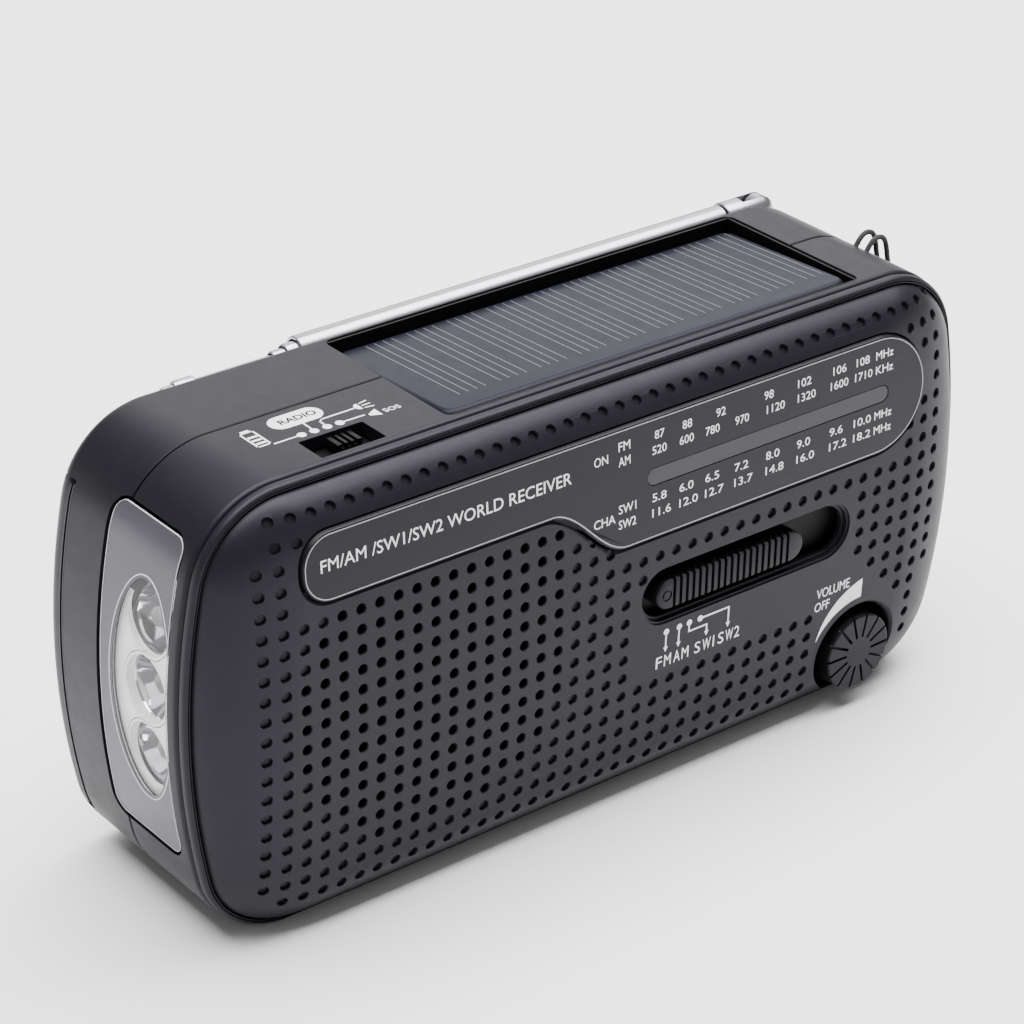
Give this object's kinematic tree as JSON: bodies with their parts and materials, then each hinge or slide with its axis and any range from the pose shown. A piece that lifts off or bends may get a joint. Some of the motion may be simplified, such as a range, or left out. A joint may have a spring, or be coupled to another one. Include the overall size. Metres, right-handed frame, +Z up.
{
  "type": "emergency radio",
  "caption": "Hand-held wind-up and solar radio: rounded case with perforated front, dial, slider, knob, end torch, top solar cell, rear folding crank, telescopic antenna and wrist cord.",
  "frame": {"origin": "centre of the flat underside, where the radio stands", "axes": "+X along the length towards the volume knob, -Y out of the front face, +Z up"},
  "size_m": [0.1612, 0.0627, 0.075],
  "materials": {
    "case_plastic": "fine grain",
    "cover_plastic": "fine grain",
    "dial_plastic": "smooth",
    "frosted": "frosted",
    "black_plastic": "fine grain",
    "gear_plastic": "moulded",
    "pointer": "painted",
    "steel": "brushed",
    "chrome": "polished",
    "brass": "turned",
    "copper": "wound wire",
    "board": "solder mask",
    "led_glass": "clear",
    "clear_plastic": "clear",
    "solar_cell": "coated",
    "rubber": "matt",
    "paper": "pressed paper",
    "ferrite": "sintered",
    "capacitor": "plain",
    "battery_wrap": "shrink wrapped",
    "cord": "braided"
  },
  "bodies": {
    "case": {"front_cover": "cover_plastic", "trim_ring": "cover_plastic", "front_shell": "case_plastic", "rear_shell": "case_plastic", "dial_panel": "dial_plastic", "dial_window": "frosted", "speaker_frame": "steel", "speaker_cone": "paper", "speaker_magnet": "ferrite", "band_switch_body": "black_plastic", "volume_control": "steel", "function_switch_body": "black_plastic", "solar_tray": "black_plastic", "solar_panel": "solar_cell", "torch_lens": "clear_plastic", "torch_reflector": "chrome", "torch_led_1": "led_glass", "torch_led_2": "led_glass", "torch_led_3": "led_glass", "torch_board": "board", "main_board": "board", "battery_pack": "battery_wrap", "tuning_capacitor": "capacitor", "pointer_rail": "steel", "idler_axle": "brass", "dynamo_stator": "copper", "antenna_rest": "black_plastic", "antenna_bracket": "case_plastic", "charge_socket": "steel", "earphone_socket": "steel", "case_screw_1": "steel", "case_screw_2": "steel", "case_screw_3": "steel", "case_screw_4": "steel", "wrist_strap_cord": "cord"},
    "band_slider": {"band_slider_cap": "cover_plastic"},
    "volume": {"volume_knob": "cover_plastic", "volume_shaft": "steel"},
    "function_switch": {"function_switch_knob": "black_plastic"},
    "tuning": {"tuning_wheel": "cover_plastic"},
    "pointer": {"dial_pointer": "pointer"},
    "door": {"battery_door": "case_plastic"},
    "crank": {"crank_arm": "case_plastic", "crank_shaft": "steel", "crank_gear": "gear_plastic", "crank_knob_pin": "steel"},
    "knob_yoke": {"crank_knob_yoke": "steel"},
    "knob": {"crank_knob": "black_plastic"},
    "idler": {"idler_gear": "gear_plastic"},
    "rotor": {"dynamo_rotor": "brass"},
    "antenna_swivel_base": {"antenna_base": "chrome", "antenna_pin": "chrome"},
    "antenna_outer": {"antenna_fork": "chrome", "antenna_tube_1": "chrome"},
    "antenna_middle": {"antenna_tube_2": "chrome"},
    "antenna_inner": {"antenna_tube_3": "chrome"},
    "antenna_whip": {"antenna_rod": "chrome", "antenna_tip": "chrome"},
    "port_flap": {"port_cover": "rubber"}
  },
  "joints": [
    {"name": "band_slide", "type": "slide", "parent": "case", "child": "band_slider", "axis": [1, 0, 0], "range_m": [0, 0.0072]},
    {"name": "volume_turn", "type": "hinge", "parent": "case", "child": "volume", "pos_m": [0.052, -0.019, 0.0108], "axis": [0, 1, 0], "range_deg": [0, 270]},
    {"name": "function_slide", "type": "slide", "parent": "case", "child": "function_switch", "axis": [1, 0, 0], "range_m": [-0.0042, 0.002]},
    {"name": "tuning_turn", "type": "hinge", "parent": "case", "child": "tuning", "pos_m": [0.0605, 0.0072, 0.04], "axis": [0, 1, 0], "range_deg": [0, 180]},
    {"name": "pointer_slide", "type": "slide", "parent": "case", "child": "pointer", "axis": [1, 0, 0], "range_m": [0, 0.05]},
    {"name": "door_slide", "type": "slide", "parent": "case", "child": "door", "axis": [-1, 0, 0], "range_m": [0, 0.02]},
    {"name": "crank_turn", "type": "hinge", "parent": "case", "child": "crank", "pos_m": [0.01, 0.0077, 0.0365], "axis": [0, 1, 0], "continuous": true},
    {"name": "knob_fold", "type": "hinge", "parent": "crank", "child": "knob_yoke", "pos_m": [0.0372, 0.0187, 0.0365], "axis": [0, 0, 1], "range_deg": [-90, 0]},
    {"name": "knob_spin", "type": "hinge", "parent": "knob_yoke", "child": "knob", "pos_m": [0.03, 0.0187, 0.0365], "axis": [1, 0, 0], "continuous": true},
    {"name": "idler_turn", "type": "hinge", "parent": "case", "child": "idler", "pos_m": [-0.0103, 0.006, 0.0365], "axis": [0, 1, 0], "continuous": true},
    {"name": "rotor_turn", "type": "hinge", "parent": "case", "child": "rotor", "pos_m": [-0.00165, 0.002, 0.02152], "axis": [0, 1, 0], "continuous": true},
    {"name": "antenna_swivel", "type": "hinge", "parent": "case", "child": "antenna_swivel_base", "pos_m": [0.0674, 0.0252, 0.066], "axis": [0, 0, 1], "range_deg": [-180, 0]},
    {"name": "antenna_tilt", "type": "hinge", "parent": "antenna_swivel_base", "child": "antenna_outer", "pos_m": [0.0674, 0.0252, 0.0712], "axis": [0, 1, 0], "range_deg": [0, 180]},
    {"name": "antenna_slide_1", "type": "slide", "parent": "antenna_outer", "child": "antenna_middle", "axis": [-1, 0, 0], "range_m": [0, 0.072]},
    {"name": "antenna_slide_2", "type": "slide", "parent": "antenna_middle", "child": "antenna_inner", "axis": [-1, 0, 0], "range_m": [0, 0.072]},
    {"name": "antenna_slide_3", "type": "slide", "parent": "antenna_inner", "child": "antenna_whip", "axis": [-1, 0, 0], "range_m": [-0.004, 0.072]},
    {"name": "port_flap_turn", "type": "hinge", "parent": "case", "child": "port_flap", "pos_m": [0.0543, 0.0221, 0.036], "axis": [0, 0, 1], "range_deg": [0, 150]}
  ],
  "couplings": [
    {"joint": "pointer_slide", "follows": "tuning_turn", "m_per_rad": 0.0159},
    {"joint": "crank_turn", "follows": "rotor_turn", "ratio": 0.13889},
    {"joint": "idler_turn", "follows": "rotor_turn", "ratio": -0.41667}
  ]
}
